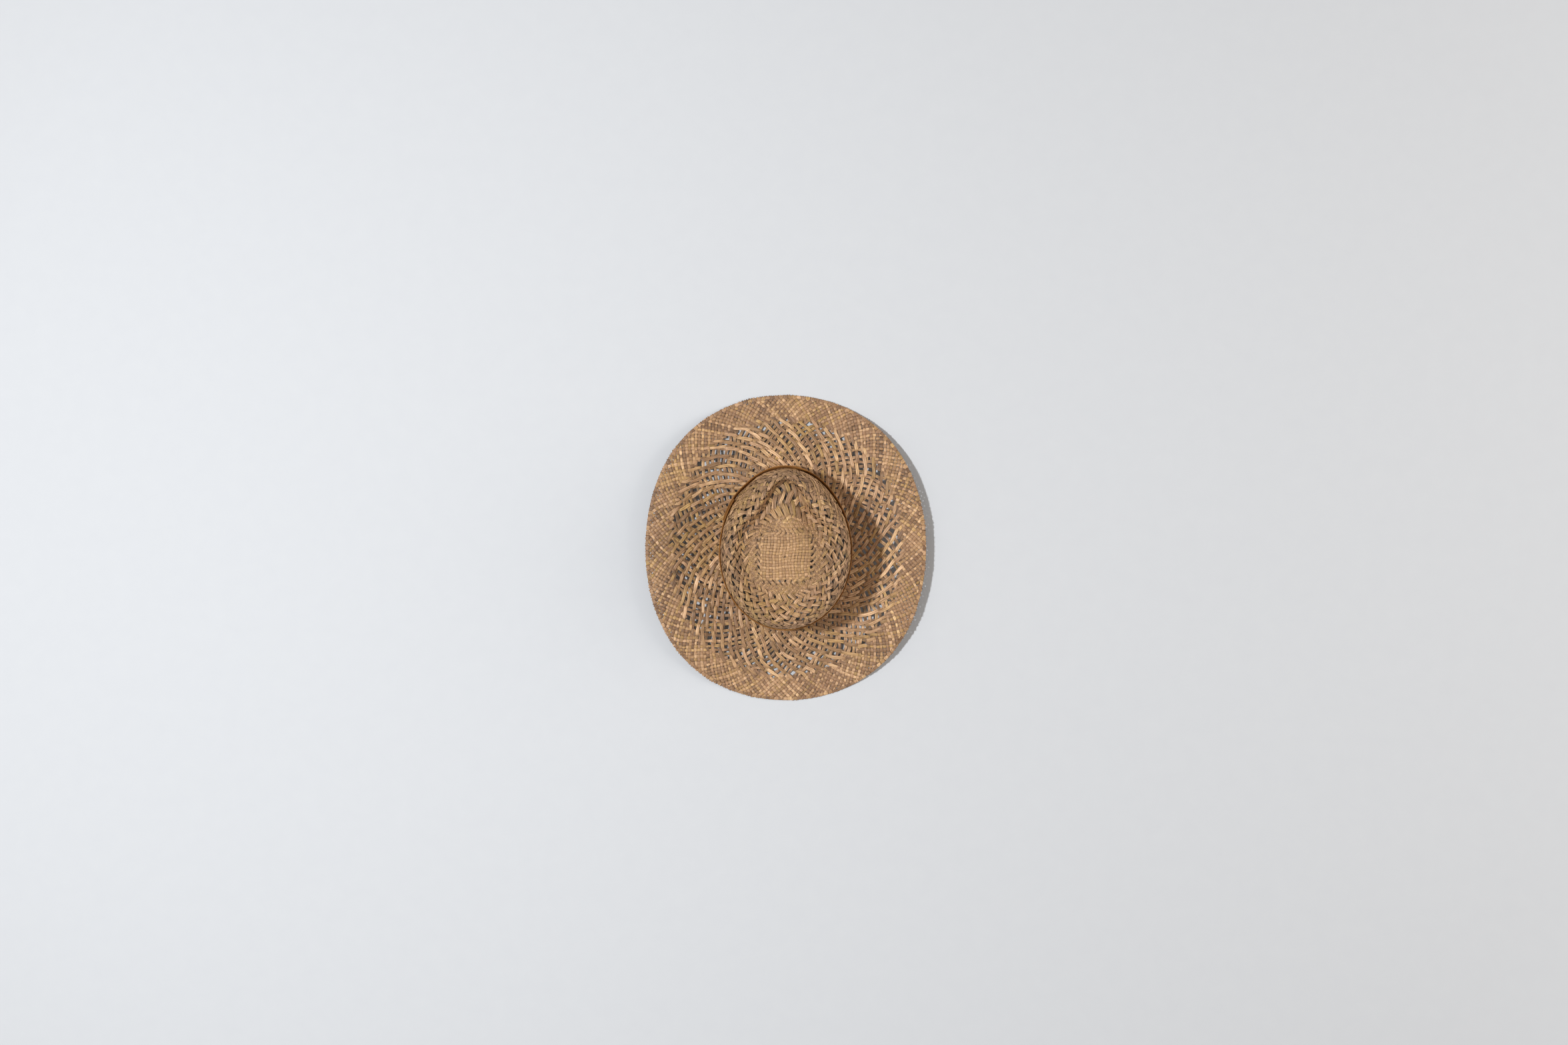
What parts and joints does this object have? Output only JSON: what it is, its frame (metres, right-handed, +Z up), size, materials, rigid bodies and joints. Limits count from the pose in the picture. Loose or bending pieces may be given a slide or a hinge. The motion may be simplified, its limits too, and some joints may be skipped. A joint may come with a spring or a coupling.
{
  "type": "panama-style straw hat",
  "caption": "Wide-brimmed woven straw hat with a teardrop-creased pinched crown, raised brim sides, narrow leather hat band and inner sweatband.",
  "frame": {"origin": "on the plane the brim rests on, under the middle of the brim", "axes": "+Z up through the crown; the wearer faces -Y, so +X is the wearer's left; +Y points to the nape"},
  "size_m": [0.372, 0.407, 0.1166],
  "materials": {
    "straw": "open-woven dried leaf straw, satin, warm tan",
    "straw_border": "tightly woven dried leaf straw, satin, tan with grey-brown strands",
    "band_leather": "smooth saddle-tan leather",
    "pale_thread": "matt off-white thread",
    "brown_thread": "matt brown thread",
    "sweatband": "ribbed matt cotton ribbon",
    "seam_tape": "matt cotton tape"
  },
  "bodies": {
    "root": {"crown_centre": "straw", "crown_top": "straw", "crown_side": "straw", "brim_field": "straw", "brim_border": "straw_border", "brim_edge": "straw_border", "hat_band": "band_leather", "hat_band_stitch_1": "pale_thread", "hat_band_stitch_2": "pale_thread", "hat_band_stitch_3": "pale_thread", "hat_band_tack_1": "brown_thread", "hat_band_tack_2": "brown_thread", "hat_band_tack_3": "brown_thread", "hat_band_tack_4": "brown_thread", "sweatband": "sweatband", "sweatband_reed": "brown_thread", "sweatband_seam_tape": "seam_tape", "sweatband_thread": "brown_thread"}
  },
  "joints": []
}
